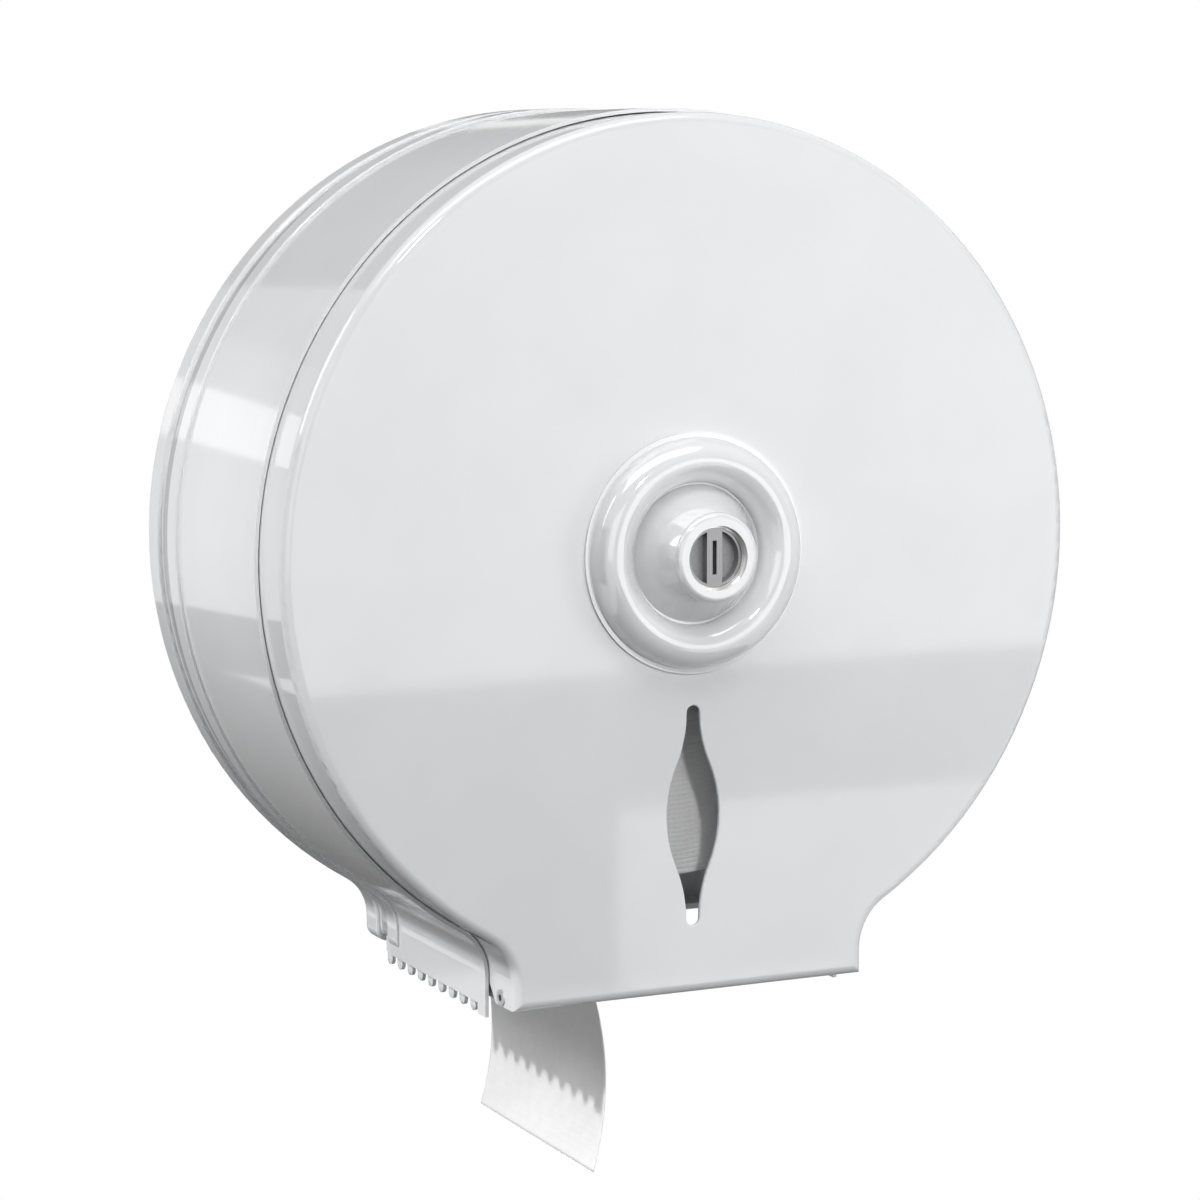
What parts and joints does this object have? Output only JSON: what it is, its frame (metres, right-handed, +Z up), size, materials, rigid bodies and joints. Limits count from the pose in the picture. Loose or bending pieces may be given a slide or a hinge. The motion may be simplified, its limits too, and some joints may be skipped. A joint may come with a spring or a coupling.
{
  "type": "toilet paper dispenser",
  "caption": "Wall-hung round metal dispenser for a jumbo toilet roll, with a hinged keyhole-shaped cover, key lock, leaf-shaped sight slot and toothed throat.",
  "frame": {"origin": "drum axis in the plane of the wall, at the centre of the wall-screw pattern", "axes": "+X to the right seen from the front, +Y into the wall, +Z up"},
  "size_m": [0.275, 0.1365, 0.3357],
  "materials": {
    "white_coat": "white semi-gloss coated steel",
    "zinc_steel": "zinc-plated steel",
    "lock_metal": "dark satin die-cast metal",
    "hub_plastic": "light grey moulded plastic",
    "tissue": "soft white tissue paper",
    "card": "plain grey-brown card"
  },
  "bodies": {
    "housing": {"back_pan": "white_coat", "drum_wall": "white_coat", "left_tear_bar": "white_coat", "right_tear_bar": "white_coat", "left_hinge_bracket": "zinc_steel", "right_hinge_bracket": "zinc_steel", "cover_stops": "white_coat", "spindle_flange": "zinc_steel", "spindle_post": "zinc_steel", "spindle_rivets": "zinc_steel", "thrust_washer": "hub_plastic", "hub_clip": "zinc_steel", "keeper_plate": "zinc_steel", "keeper_screw": "zinc_steel", "paper_tail": "tissue"},
    "hub": {"roll_hub": "hub_plastic"},
    "roll": {"paper_roll": "tissue", "roll_core": "card"},
    "cover": {"front_cover": "white_coat", "lock_rosette": "white_coat", "lock_barrel": "lock_metal", "lock_washer": "zinc_steel", "lock_nut": "zinc_steel", "hinge_rivets": "zinc_steel", "hinge_washers": "zinc_steel"},
    "lock": {"lock_plug": "lock_metal", "lock_cam": "zinc_steel", "cam_screw": "zinc_steel"}
  },
  "joints": [
    {"name": "cover_hinge", "type": "hinge", "parent": "housing", "child": "cover", "pos_m": [0, -0.1095, -0.13633], "axis": [1, 0, 0], "range_deg": [0, 110]},
    {"name": "lock_turn", "type": "hinge", "parent": "cover", "child": "lock", "pos_m": [0, -0.12, 0], "axis": [0, 1, 0], "range_deg": [0, 90]},
    {"name": "roll_spin", "type": "hinge", "parent": "housing", "child": "roll", "pos_m": [0, -0.058, -0.0077], "axis": [0, 1, 0], "continuous": true},
    {"name": "hub_spin", "type": "hinge", "parent": "housing", "child": "hub", "pos_m": [0, -0.045, 0], "axis": [0, 1, 0], "continuous": true}
  ],
  "couplings": [
    {"joint": "hub_spin", "follows": "roll_spin", "ratio": 1.3636}
  ]
}
